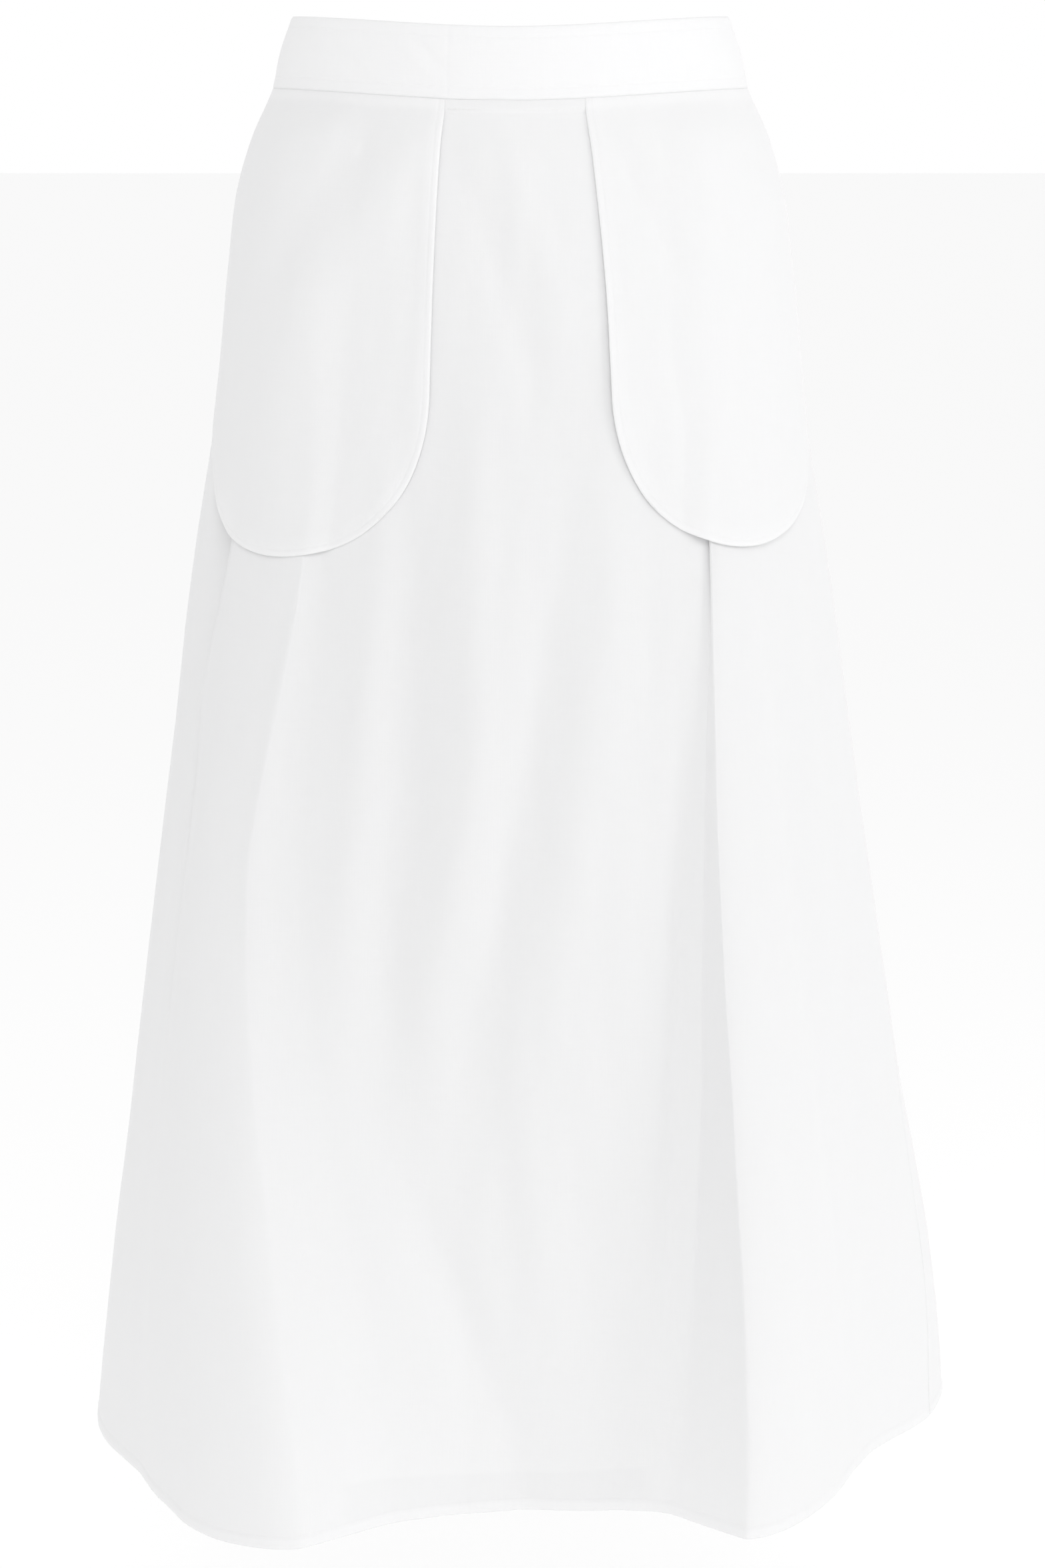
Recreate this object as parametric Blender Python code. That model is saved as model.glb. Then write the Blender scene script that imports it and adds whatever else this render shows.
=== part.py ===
"""White cotton midi skirt, worn and hollow: contoured waistband, two rounded hip flaps, a front
with two deep pleats that open towards the hem, two back panels and a zip at the centre back.

Metres. +Z is up, the front faces -Y, +X is on the right of someone who looks at the front.
The origin is the middle of the waist, at half the waistband's height.
"""
import math
from collections import namedtuple

import bmesh
import bpy
import numpy as np
from mathutils import Matrix

CLOTH_WALL = 0.0012
FLAP_WALL = 0.0018
BAND_WALL = 0.0026
SEAM_GAP = 0.0003

BAND_TOP = 0.019
BAND_FOOT = -0.019
BAND_PROUD = 0.0015
# The walls' ends are square to their slope, so their middles are further apart than their faces.
SLOPE_CLEAR = 0.0007
SKIRT_TOP = BAND_FOOT - SEAM_GAP - SLOPE_CLEAR
HEM = -0.768
SIDE_RISE = 0.0065
BACK_RISE = 0.0030

# One ring of the skirt's wall for each row: its height, half its width, its depth in front of and
# behind the side seams, and how far its middle sways to +X.
Section = namedtuple("Section", "height half_width front back sway")
SECTIONS = (
    Section(-0.768, 0.2440, 0.1520, 0.1620, 0.0055),
    Section(-0.719, 0.2399, 0.1497, 0.1590, 0.0065),
    Section(-0.560, 0.2174, 0.1410, 0.1510, 0.0040),
    Section(-0.406, 0.1949, 0.1315, 0.1430, 0.0015),
    Section(-0.257, 0.1735, 0.1205, 0.1350, 0.0000),
    Section(-0.184, 0.1612, 0.1145, 0.1290, 0.0000),
    Section(-0.113, 0.1532, 0.1080, 0.1180, 0.0000),
    Section(-0.070, 0.1467, 0.1025, 0.1070, 0.0000),
    Section(-0.043, 0.1382, 0.0975, 0.0990, 0.0000),
    Section(-0.019, 0.1272, 0.0905, 0.0875, 0.0000),
    Section(0.000, 0.1229, 0.0881, 0.0840, 0.0000),
    Section(0.019, 0.1162, 0.0852, 0.0800, 0.0000),
)

# Angles are in degrees from the centre front. A pleat's edge is the fold that shows, facing the
# centre. Its tuck is how far the cloth goes on under it, and is below zero where the pleat has
# opened. Lift is how far the edge stands out of the ring, and rise how far the inner fold does.
Pleat = namedtuple("Pleat", "height edge tuck lift rise")
RIGHT_PLEAT = (
    Pleat(-0.768, 31.5, -6.0, 0.063, 0.011),
    Pleat(-0.600, 35.2, -3.5, 0.043, 0.009),
    Pleat(-0.420, 40.0, -2.5, 0.020, 0.007),
    Pleat(-0.270, 45.5, 2.0, 0.0085, 0.001),
    Pleat(-0.019, 55.0, 11.0, 0.006, 0.000),
)
LEFT_PLEAT = (
    Pleat(-0.768, 29.0, -9.0, 0.074, 0.021),
    Pleat(-0.600, 38.0, -9.0, 0.056, 0.017),
    Pleat(-0.420, 48.8, -8.0, 0.027, 0.010),
    Pleat(-0.270, 46.8, -4.0, 0.0095, 0.002),
    Pleat(-0.019, 55.0, 11.0, 0.006, 0.000),
)
# Beyond its edge a pleat's cloth swells to a crest and runs down to the side within its reach,
# both in degrees. Roundness is how blunt the crest is. Riser holds where the cloth's stations lie
# between the inner fold and the edge of an opened pleat.
Half = namedtuple("Half", "rows crest swell reach roundness riser")
HALVES = {
    1: Half(RIGHT_PLEAT, 1.0, 1.00, 32.0, 12.0, (0.10, 0.26, 0.44, 0.62, 0.80, 0.95, 1.0)),
    -1: Half(LEFT_PLEAT, 7.0, 1.15, 40.0, 6.0, (0.12, 0.30, 0.50, 0.70, 0.87, 0.96, 1.0)),
}
SHUT_SHARES = (0.0, 0.25, 0.5, 0.75, 0.9)
OPEN_SHARES = (0.0, 0.22, 0.44, 0.62, 0.78, 0.92)
OUTER_SHARES = (0.06, 0.2, 0.36, 0.52, 0.68, 0.84, 1.0)
# A pleat starts to open where its tuck is below the first of these, and is open below the second.
OPENS_AT, OPEN_AT = 2.0, -5.0
FULL_TUCK = 4.0
FALL = 1.5
SIDE_ANGLE = 90.0
LAST_SWELL = 80.0
LAYER_PITCH = 0.003
FOLD_BULGE = 0.0030
RISE_FADE = 8.0

# A soft fold runs from its upper to its lower end, is deepest in between or at the hem, and stands
# out of the wall by its height, or goes in where that is below zero. Angles past 90 are behind.
Fold = namedtuple("Fold", "upper deepest lower upper_angle lower_angle spread height")
FOLDS = {
    "right hollow": Fold(-0.16, HEM, HEM, 62.0, 76.5, 14.0, -0.0235),
    "left tuck": Fold(-0.17, -0.262, -0.40, -78.5, -67.0, 4.6, -0.0065),
    "centre crest": Fold(-0.12, -0.360, -0.62, -5.0, -21.0, 6.5, 0.0040),
    "left valley": Fold(-0.16, -0.360, -0.59, -24.0, -27.0, 5.5, -0.0034),
    "centre valley": Fold(-0.13, -0.380, -0.64, 18.0, -11.0, 6.5, -0.0040),
    "right crest": Fold(-0.13, -0.400, -0.68, 31.0, 2.0, 6.0, 0.0036),
    "low valley": Fold(-0.52, -0.660, -0.90, -29.0, 20.0, 5.0, -0.0032),
    "right back lobe": Fold(-0.20, HEM, HEM, 112.0, 107.0, 11.0, 0.0210),
    "right back valley": Fold(-0.20, HEM, HEM, 130.0, 127.0, 10.0, -0.0110),
    "right inner lobe": Fold(-0.12, HEM, HEM, 151.0, 148.0, 12.0, 0.0200),
    "centre back valley": Fold(-0.26, HEM, HEM, 180.0, 175.0, 12.0, -0.0130),
    "left inner lobe": Fold(-0.12, HEM, HEM, -153.0, -154.0, 13.0, 0.0170),
    "left back valley": Fold(-0.22, HEM, HEM, -132.0, -129.0, 11.0, -0.0130),
    "left back lobe": Fold(-0.20, HEM, HEM, -110.0, -106.0, 10.0, 0.0090),
}

# A flap's half width is an angle either side of its middle. Below the straight drop it rounds off.
Flap = namedtuple("Flap", "side top_inner top_outer low_middle low_half straight length stand")
FLAPS = {
    "flap_left": Flap(-1, 20.8, 88.6, 52.8, 32.0, 0.156, 0.2420, 0.0030),
    "flap_right": Flap(1, 23.8, 88.6, 55.4, 29.8, 0.154, 0.2375, 0.0065),
}
FLAP_CLEAR = 0.0007
FLAP_LAY = CLOTH_WALL / 2 + FLAP_CLEAR + FLAP_WALL / 2
FLAP_SLOPE = 13.0
# Rows of a flap's grid above its round end, and how much less its outer edge stands off.
STRAIGHT_SHARE = 0.5
OUTER_HUG = 0.85

FRONT_ROWS = 20
BACK_COLUMNS, BACK_ROWS = 20, 15
FLAP_CELLS = 16
FRONT_BAND_COLUMNS, BACK_BAND_COLUMNS, BAND_ROWS = 36, 16, 3
TAPE_COLUMNS, TAPE_ROWS = 4, 18

ZIP_TOP, ZIP_FOOT, ZIP_HEIGHT = 0.015, -0.190, 0.007
TAPE_WIDTH, TAPE_WALL, TAPE_CLEAR = 0.024, 0.0010, 0.0007
SLIDER_WIDTH, SLIDER_DEPTH, SLIDER_HEIGHT, SLIDER_CORNER = 0.0070, 0.0028, 0.0100, 0.0018
EAR_WIDTH, EAR_RADIUS, EAR_SPREAD, EAR_ROOT = 0.0010, 0.0013, 0.0042, 0.0005
PIN_RADIUS, PIN_STAND = 0.0006, 0.0021
EYE_RADIUS, EYE_HOLE, EYE_WIDTH, EYE_TRIM = 0.0017, 0.0009, 0.0026, 0.0001
HOLE_RUN = 0.002
TAB_WIDTH, TAB_LENGTH, TAB_THICKNESS = 0.0052, 0.0230, 0.0012
NECK_TOP, NECK_FOOT = -0.0005, -0.0020
TAB_LEAN = math.radians(4.0)
SLIDER_SPAN = 0.005

WHITE_COTTON = (0.86, 0.86, 0.85)
WHITE_LACQUER = (0.82, 0.82, 0.81)
COTTON_ROUGHNESS, TAPE_ROUGHNESS, SLIDER_ROUGHNESS, PULL_ROUGHNESS = 0.85, 0.6, 0.35, 0.3


def smoothstep(value):
    """0 below 0, 1 above 1, with an easy start and end"""
    value = min(max(value, 0.0), 1.0)
    return value * value * (3.0 - 2.0 * value)


def along(rows, column, height):
    """value of a table's column at a height, on a smooth curve through its rows"""
    heights = np.array([row.height for row in rows])
    values = np.array([getattr(row, column) for row in rows])
    slopes = np.gradient(values, heights)
    height = min(max(height, heights[0]), heights[-1])
    place = min(int(np.searchsorted(heights, height, side="right")) - 1, len(rows) - 2)
    span = heights[place + 1] - heights[place]
    t = (height - heights[place]) / span
    start = (2 * t**3 - 3 * t**2 + 1) * values[place] + (t**3 - 2 * t**2 + t) * span * slopes[place]
    end = (3 * t**2 - 2 * t**3) * values[place + 1] + (t**3 - t**2) * span * slopes[place + 1]
    return float(start + end)


def ring(height):
    """the section at one height"""
    return Section(height, *(along(SECTIONS, column, height) for column in Section._fields[1:]))


def pleat_at(rows, height):
    """the pleat's measures at one height"""
    return Pleat(height, *(along(rows, column, height) for column in Pleat._fields[1:]))


def fold_depth(angle, height):
    """how far the soft folds push the wall out at an angle and a height"""
    total = 0.0
    for fold in FOLDS.values():
        if height > fold.upper or height < min(fold.lower, HEM):
            continue
        share = (fold.upper - height) / (fold.upper - fold.lower)
        middle = fold.upper_angle + share * (fold.lower_angle - fold.upper_angle)
        away = (angle - middle + 180.0) % 360.0 - 180.0
        depth = fold.height * smoothstep((fold.upper - height) / (fold.upper - fold.deepest))
        if fold.lower < fold.deepest:
            depth *= smoothstep((height - fold.lower) / (fold.deepest - fold.lower))
        total += depth * math.exp(-(away / fold.spread) ** 2)
    return total


def rise_at(angle):
    """how much higher the waist lies at an angle than at the centre front"""
    across = math.sin(math.radians(angle)) ** 2
    middle = 0.0 if math.cos(math.radians(angle)) > 0.0 else BACK_RISE
    return middle + (SIDE_RISE - middle) * across


def wall_point(section, angle, lift, with_folds=True):
    """a point of the wall at an angle, moved out of the section's ring by the lift"""
    turn = math.radians(angle)
    depth = section.front if math.cos(turn) > 0.0 else section.back
    width = section.half_width
    radius = width * depth / math.hypot(depth * math.sin(turn), width * math.cos(turn))
    radius += lift
    if with_folds:
        radius += fold_depth(angle, section.height)
    fade = min(max((section.height - HEM) / (SKIRT_TOP - HEM), 0.0), 1.0) ** 3
    x = section.sway + radius * math.sin(turn)
    return x, -radius * math.cos(turn), section.height + rise_at(angle) * fade


def outer_lift(half, pleat, angle):
    """how far the cloth outside a pleat's edge stands out of the ring"""
    away = angle - pleat.edge
    if away < half.crest:
        return pleat.lift * (1.0 + (half.swell - 1.0) * math.sin(math.pi / 2 * away / half.crest))
    reach = min(half.reach, LAST_SWELL - pleat.edge - half.crest)
    blunt = half.roundness * reach / half.reach
    fallen = math.hypot(away - half.crest, blunt) - blunt
    share = min(fallen / (math.hypot(reach, blunt) - blunt), 1.0)
    return pleat.lift * half.swell * (1.0 - share) ** FALL


def half_front(half, height):
    """stations of angle and lift from the centre front out to one side seam, through the pleat"""
    pleat = pleat_at(half.rows, height)
    edge, top, under = pleat.edge, pleat.lift, pleat.rise
    inner = edge + pleat.tuck
    bulge = math.degrees(FOLD_BULGE / ring(height).front) * smoothstep(pleat.tuck / FULL_TUCK)

    def centre(shares):
        angles = [inner * share for share in shares]
        return [(a, under * math.exp(-max(min(edge, inner) - a, 0.0) / RISE_FADE)) for a in angles]

    shut = centre(SHUT_SHARES) + [(inner, under), (inner + bulge, under)]
    shut += [(inner + bulge, under + LAYER_PITCH), (inner, under + LAYER_PITCH)]
    shut += [(edge, top - LAYER_PITCH), (edge - bulge, top - LAYER_PITCH)]
    shut += [(edge - bulge, top), (edge, top)]
    wide = centre(OPEN_SHARES)
    wide += [(inner + up * (edge - inner), under + up * (top - under)) for up in half.riser]
    opened = smoothstep((OPENS_AT - pleat.tuck) / (OPENS_AT - OPEN_AT))
    stations = [tuple((1.0 - opened) * s + opened * w for s, w in zip(*pair)) for pair in zip(shut, wide)]
    for share in OUTER_SHARES:
        angle = edge + share * (SIDE_ANGLE - edge)
        stations.append((angle, outer_lift(half, pleat, angle)))
    return stations


def front_stations(height):
    """stations across the whole front, from the left side seam to the right one"""
    left = [(-angle, lift) for angle, lift in reversed(half_front(HALVES[-1], height)[1:])]
    return left + half_front(HALVES[1], height)


def spline(stations, place):
    """angle and lift at a place along the stations, on a cubic B-spline through both its ends"""
    first, last = stations[0], stations[-1]
    points = [first, first] + list(stations) + [last, last]
    place = min(place, len(stations) + 0.999999)
    span = int(place)
    t = place - span
    weights = ((1 - t) ** 3, 3 * t**3 - 6 * t**2 + 4, -3 * t**3 + 3 * t**2 + 3 * t + 1, t**3)
    near = points[span:span + 4]
    return tuple(sum(w * p[axis] for w, p in zip(weights, near)) / 6.0 for axis in (0, 1))


def cloth(name, columns, rows, place_point, wall, material):
    """an object whose grid of points is placed one by one, then thickened to a closed wall"""
    mesh = bpy.data.meshes.new(name)
    grid = bmesh.new()
    bmesh.ops.create_grid(grid, x_segments=columns, y_segments=rows, size=0.5)
    for vertex in grid.verts:
        vertex.co = place_point(vertex.co.x + 0.5, 0.5 - vertex.co.y)
    grid.to_mesh(mesh)
    grid.free()
    mesh.shade_smooth()
    piece = bpy.data.objects.new(name, mesh)
    bpy.context.collection.objects.link(piece)
    solid = piece.modifiers.new("Wall", "SOLIDIFY")
    solid.thickness = wall
    solid.offset = 0.0
    mesh.materials.append(material)
    return piece


def finish(name, colour, roughness):
    """a plain material of one colour"""
    material = bpy.data.materials.new(name)
    material.use_nodes = True
    shader = material.node_tree.nodes["Principled BSDF"]
    shader.inputs["Base Color"].default_value = (*colour, 1.0)
    shader.inputs["Roughness"].default_value = roughness
    return material


def cotton(name):
    """white cotton cloth"""
    return finish(name, WHITE_COTTON, COTTON_ROUGHNESS)


def panel_height(down):
    """height of a panel's row, closer together near the waist"""
    return SKIRT_TOP + (HEM - SKIRT_TOP) * (0.45 * down + 0.55 * down * down)


def inside_seams(angle, start, end, section):
    """an angle between two seams, drawn in so that half the gap stays free beside each"""
    clear = math.degrees(SEAM_GAP / 2 / min(section.half_width, section.back))
    return start + clear + (angle - start) * (end - start - 2 * clear) / (end - start)


def front_panel():
    """the skirt's front, one wall from side seam to side seam through both pleats"""
    spans = len(front_stations(HEM)) + 1

    def place_point(across, down):
        height = panel_height(down)
        section = ring(height)
        angle, lift = spline(front_stations(height), across * spans)
        return wall_point(section, inside_seams(angle, -90.0, 90.0, section), lift)

    material = cotton("front_cotton")
    return cloth("skirt_front", 2 * spans, FRONT_ROWS, place_point, CLOTH_WALL, material)


def back_panel(name, start):
    """one half of the skirt's back, a quarter turn between a side seam and the centre back"""
    def place_point(across, down):
        section = ring(panel_height(down))
        angle = inside_seams(start + 90.0 * across, start, start + 90.0, section)
        return wall_point(section, angle, 0.0)

    material = cotton(name + "_cotton")
    return cloth(name, BACK_COLUMNS, BACK_ROWS, place_point, CLOTH_WALL, material)


def flap_under(side, angle, height):
    """how far the pleat under a flap lifts it, easing off towards the centre front"""
    pleat = pleat_at(HALVES[side].rows, height)
    if angle >= pleat.edge:
        return outer_lift(HALVES[side], pleat, angle)
    return pleat.lift * math.exp(-((pleat.edge - angle) / FLAP_SLOPE) ** 2)


def flap_panel(name, flap):
    """a doubled flap that hangs from the waist seam: straight edges, then half an ellipse"""
    def place_point(across, down):
        spread = 2.0 * across - 1.0
        if down <= STRAIGHT_SHARE:
            share = down / STRAIGHT_SHARE
            drop = flap.straight * (0.6 * share + 0.4 * share**2)
        else:
            low = (down - STRAIGHT_SHARE) / (1.0 - STRAIGHT_SHARE)
            rounding = low * math.sqrt(1.0 - spread**2 / 2)
            drop = flap.straight + (flap.length - flap.straight) * rounding
            spread *= math.sqrt(1.0 - low**2 / 2)
        settle = smoothstep(drop / (0.5 * flap.length))
        top_middle = (flap.top_outer + flap.top_inner) / 2
        top_half = (flap.top_outer - flap.top_inner) / 2
        middle = top_middle + settle * (flap.low_middle - top_middle)
        half = top_half + settle * (flap.low_half - top_half)
        angle = middle + flap.side * spread * half
        height = SKIRT_TOP - drop
        outward = smoothstep((1.0 + flap.side * spread) / 2)
        free = smoothstep(drop / flap.length) * (1.0 - OUTER_HUG * outward)
        lift = FLAP_LAY + flap_under(flap.side, angle, height) + flap.stand * free
        return wall_point(ring(height), flap.side * angle, lift, with_folds=False)

    return cloth(name, FLAP_CELLS, FLAP_CELLS, place_point, FLAP_WALL, cotton(name + "_cotton"))


def band_part(name, start, end, columns):
    """a stretch of the contoured waistband"""
    def place_point(across, down):
        section = ring(BAND_TOP + (BAND_FOOT - BAND_TOP) * down)
        angle = inside_seams(start + (end - start) * across, start, end, section)
        return wall_point(section, angle, BAND_PROUD, with_folds=False)

    return cloth(name, columns, BAND_ROWS, place_point, BAND_WALL, cotton(name + "_cotton"))


def zip_tape():
    """the zip's woven tape, sewn inside the centre back"""
    def place_point(across, down):
        section = ring(ZIP_TOP + (ZIP_FOOT - ZIP_TOP) * down)
        angle = 180.0 + math.degrees(TAPE_WIDTH / section.back) * (across - 0.5)
        return wall_point(section, angle, -(CLOTH_WALL / 2 + TAPE_CLEAR + TAPE_WALL / 2))

    material = finish("tape_white", WHITE_COTTON, TAPE_ROUGHNESS)
    return cloth("zip_tape", TAPE_COLUMNS, TAPE_ROWS, place_point, TAPE_WALL, material)


def bar(name, radius, length, sides=16):
    """a closed round bar along X, its middle at the origin"""
    mesh = bpy.data.meshes.new(name)
    turned = bmesh.new()
    bmesh.ops.create_cone(
        turned, cap_ends=True, segments=sides, radius1=radius, radius2=radius, depth=length
    )
    bmesh.ops.rotate(turned, verts=turned.verts[:], matrix=Matrix.Rotation(math.pi / 2, 3, "Y"))
    turned.to_mesh(mesh)
    turned.free()
    piece = bpy.data.objects.new(name, mesh)
    bpy.context.collection.objects.link(piece)
    return piece


def plate(name, outline, thickness, along_x):
    """a closed plate from an outline: in the YZ plane and as thick along X, or in XZ and along Y"""
    mesh = bpy.data.meshes.new(name)
    flat = bmesh.new()
    if along_x:
        corners = [flat.verts.new((-thickness / 2, first, second)) for first, second in outline]
        move = (thickness, 0.0, 0.0)
    else:
        corners = [flat.verts.new((first, -thickness / 2, second)) for first, second in outline]
        move = (0.0, thickness, 0.0)
    face = flat.faces.new(corners)
    grown = bmesh.ops.extrude_face_region(flat, geom=[face])
    moved = [item for item in grown["geom"] if isinstance(item, bmesh.types.BMVert)]
    bmesh.ops.translate(flat, verts=moved, vec=move)
    bmesh.ops.recalc_face_normals(flat, faces=flat.faces[:])
    flat.to_mesh(mesh)
    flat.free()
    piece = bpy.data.objects.new(name, mesh)
    bpy.context.collection.objects.link(piece)
    return piece


def combine(target, tool, operation):
    """unite a tool with the target, or cut it out, and keep the tool as a hidden guide"""
    tool.hide_render = True
    tool.display_type = "WIRE"
    change = target.modifiers.new(operation.title(), "BOOLEAN")
    change.operation = operation
    change.object = tool


def half_round(radius, foot):
    """an outline that is round on one side, +Y, and runs back to a straight foot"""
    turns = [math.radians(-90 + 180 * step / 10) for step in range(11)]
    arc = [(radius * math.cos(turn), radius * math.sin(turn)) for turn in turns]
    return arc + [(-foot, radius), (-foot, -radius)]


def rounded_box(width, height, radius):
    """an outline of a box with round corners"""
    outline = []
    for corner, (across, up) in enumerate(((1, 1), (-1, 1), (-1, -1), (1, -1))):
        for step in range(5):
            turn = math.radians(90 * corner + 90 * step / 4)
            x = across * (width / 2 - radius) + radius * math.cos(turn)
            outline.append((x, up * (height / 2 - radius) + radius * math.sin(turn)))
    return outline


def place(piece, point, lean):
    """stand a piece at a point, leaning about X"""
    piece.location = point
    piece.rotation_euler = (lean, 0.0, 0.0)


def zip_slider(pin, lean):
    """slider on the outside of the centre back, with two ears and the pin that carries the tab"""
    outline = rounded_box(SLIDER_WIDTH, SLIDER_HEIGHT, SLIDER_CORNER)
    body = plate("zip_slider", outline, SLIDER_DEPTH, False)
    body.data.transform(Matrix.Translation((0.0, -PIN_STAND - SLIDER_DEPTH / 2, 0.0)))
    for side in (-1, 1):
        ear = plate(f"ear_{side}", half_round(EAR_RADIUS, PIN_STAND + EAR_ROOT), EAR_WIDTH, True)
        ear.data.transform(Matrix.Translation((side * EAR_SPREAD / 2, 0.0, 0.0)))
        combine(body, ear, "UNION")
        place(ear, pin, lean)
    rod = bar("zip_pin", PIN_RADIUS, EAR_SPREAD)
    combine(body, rod, "UNION")
    place(rod, pin, lean)
    place(body, pin, lean)
    body.data.materials.append(finish("slider_lacquer", WHITE_LACQUER, SLIDER_ROUGHNESS))


def zip_pull(pin, lean):
    """drop-shaped tab that hangs from the pin and turns on it"""
    wide = TAB_WIDTH / 2
    low = -TAB_LENGTH + wide
    turns = [math.radians(180 + 180 * step / 12) for step in range(13)]
    outline = [(wide * math.cos(turn), low + wide * math.sin(turn)) for turn in turns]
    neck = EYE_WIDTH / 2
    outline += [(neck, NECK_FOOT), (neck, NECK_TOP), (-neck, NECK_TOP), (-neck, NECK_FOOT)]
    tab = plate("zip_pull", outline, TAB_THICKNESS, False)
    eye = bar("zip_eye", EYE_RADIUS, EYE_WIDTH - EYE_TRIM)
    hole = bar("zip_eye_hole", EYE_HOLE, EYE_WIDTH + HOLE_RUN)
    for tool, operation in ((eye, "UNION"), (hole, "DIFFERENCE")):
        combine(tab, tool, operation)
        place(tool, pin, lean)
    place(tab, pin, lean)
    tab.data.materials.append(finish("pull_lacquer", WHITE_LACQUER, PULL_ROUGHNESS))


def zip_place():
    """where the slider's pin lies behind the band, and how far the band leans there"""
    high, low = (
        wall_point(ring(height), 180.0, BAND_PROUD + BAND_WALL / 2, with_folds=False)
        for height in (ZIP_HEIGHT + SLIDER_SPAN, ZIP_HEIGHT - SLIDER_SPAN)
    )
    lean = math.atan2(low[1] - high[1], high[2] - low[2])
    stand = SEAM_GAP + SLIDER_DEPTH + PIN_STAND
    middle_y = (high[1] + low[1]) / 2 + stand * math.cos(lean)
    middle_z = (high[2] + low[2]) / 2 + stand * math.sin(lean)
    return (0.0, middle_y, middle_z), lean


def main():
    for item in list(bpy.data.objects):
        bpy.data.objects.remove(item, do_unlink=True)
    front_panel()
    back_panel("skirt_back_right", 90.0)
    back_panel("skirt_back_left", 180.0)
    for name, flap in FLAPS.items():
        flap_panel(name, flap)
    band_part("waistband_front", -90.0, 90.0, FRONT_BAND_COLUMNS)
    band_part("waistband_back_right", 90.0, 180.0, BACK_BAND_COLUMNS)
    band_part("waistband_back_left", 180.0, 270.0, BACK_BAND_COLUMNS)
    zip_tape()
    pin, lean = zip_place()
    zip_slider(pin, lean)
    zip_pull(pin, TAB_LEAN)


main()
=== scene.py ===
"""White cotton midi skirt, worn and hollow, dressed over its own solids: pleated front, two back
panels, two hip flaps, a contoured waistband, sewing and a concealed zip at the centre back.

Metres. +Z is up, the front faces -Y, +X is on the right of someone who looks at the front.
Angles are in degrees round the body from the centre front, and past 90 they are behind.
"""

import math

import bmesh
import bpy
import numpy as np
from mathutils import Matrix, Vector


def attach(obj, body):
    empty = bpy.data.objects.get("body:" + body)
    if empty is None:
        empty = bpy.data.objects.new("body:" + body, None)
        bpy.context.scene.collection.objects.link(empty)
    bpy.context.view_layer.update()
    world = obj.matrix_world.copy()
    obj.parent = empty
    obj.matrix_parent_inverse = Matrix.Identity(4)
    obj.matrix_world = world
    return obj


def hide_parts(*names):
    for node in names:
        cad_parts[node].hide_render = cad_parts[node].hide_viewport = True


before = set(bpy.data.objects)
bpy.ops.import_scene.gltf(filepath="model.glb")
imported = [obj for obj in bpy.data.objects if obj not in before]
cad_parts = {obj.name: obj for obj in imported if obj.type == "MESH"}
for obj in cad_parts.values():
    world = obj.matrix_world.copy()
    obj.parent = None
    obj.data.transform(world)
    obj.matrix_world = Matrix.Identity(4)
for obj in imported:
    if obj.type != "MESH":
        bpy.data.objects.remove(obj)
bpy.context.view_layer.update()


# Skirt front: one panel of crisp plain-weave cotton, cut wide and laid in a deep pleat under each
# flap. It is caught in the waist seam, falls open from there, and ends in a narrow hem that is
# turned twice and stitched.
SKIRT_TOP, HEM = -0.0160, -0.768
SEAM_LINE = -0.020
SEAM_DIP = 0.0005
SIDE_RISE, BACK_RISE = 0.0065, 0.0030
PLY = 0.0011
HEM_DEPTH, HEM_STITCH = 0.0060, 0.0052

# Height, half the width, depth in front, depth behind, sway to the right.
RINGS = (
    (-0.768, 0.2440, 0.1520, 0.1620, 0.0055),
    (-0.719, 0.2399, 0.1497, 0.1590, 0.0065),
    (-0.560, 0.2174, 0.1410, 0.1510, 0.0040),
    (-0.406, 0.1949, 0.1315, 0.1430, 0.0015),
    (-0.257, 0.1735, 0.1205, 0.1350, 0.0000),
    (-0.184, 0.1612, 0.1145, 0.1290, 0.0000),
    (-0.113, 0.1532, 0.1080, 0.1180, 0.0000),
    (-0.070, 0.1467, 0.1025, 0.1070, 0.0000),
    (-0.043, 0.1382, 0.0975, 0.0990, 0.0000),
    (-0.019, 0.1272, 0.0905, 0.0875, 0.0000),
    (0.000, 0.1229, 0.0881, 0.0840, 0.0000),
    (0.019, 0.1162, 0.0852, 0.0800, 0.0000),
)

# Each pleat by height: the angle of the fold that shows, how far the cloth goes on under it (less
# than nothing where the pleat has opened), how far that fold stands out and how far the inner one.
PLEATS = {
    1: (
        (-0.768, 31.5, -5.0, 0.063, 0.011),
        (-0.600, 35.2, -0.4, 0.043, 0.009),
        (-0.420, 40.0, 0.2, 0.020, 0.007),
        (-0.270, 45.5, 1.0, 0.0085, 0.0048),
        (-0.019, 55.0, 11.0, 0.005, 0.0025),
    ),
    -1: (
        (-0.768, 29.0, -9.0, 0.074, 0.021),
        (-0.600, 38.0, -9.0, 0.056, 0.019),
        (-0.420, 48.8, -8.0, 0.027, 0.012),
        (-0.270, 46.8, -4.0, 0.0095, 0.0045),
        (-0.019, 55.0, 11.0, 0.005, 0.0025),
    ),
}
# Between the layers of a shut pleat, and how far its folds bulge past their line.
PLEAT_LAYER, PLEAT_BULGE = 0.0012, 0.0016
# Where the cloth of an opened pleat lies between its inner and outer fold, and how hollow it is.
RISERS = {1: (0.10, 0.26, 0.44, 0.62, 0.80, 0.95, 1.0), -1: (0.12, 0.30, 0.50, 0.70, 0.87, 0.96, 1.0)}
RISER_HOLLOW = {1: 1.25, -1: 1.6}
# Beyond the fold: where the cloth's crest is, its swell, its reach to the side, how blunt it is.
SWELLS = {1: (1.0, 1.00, 32.0, 12.0), -1: (7.0, 1.15, 40.0, 6.0)}

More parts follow.
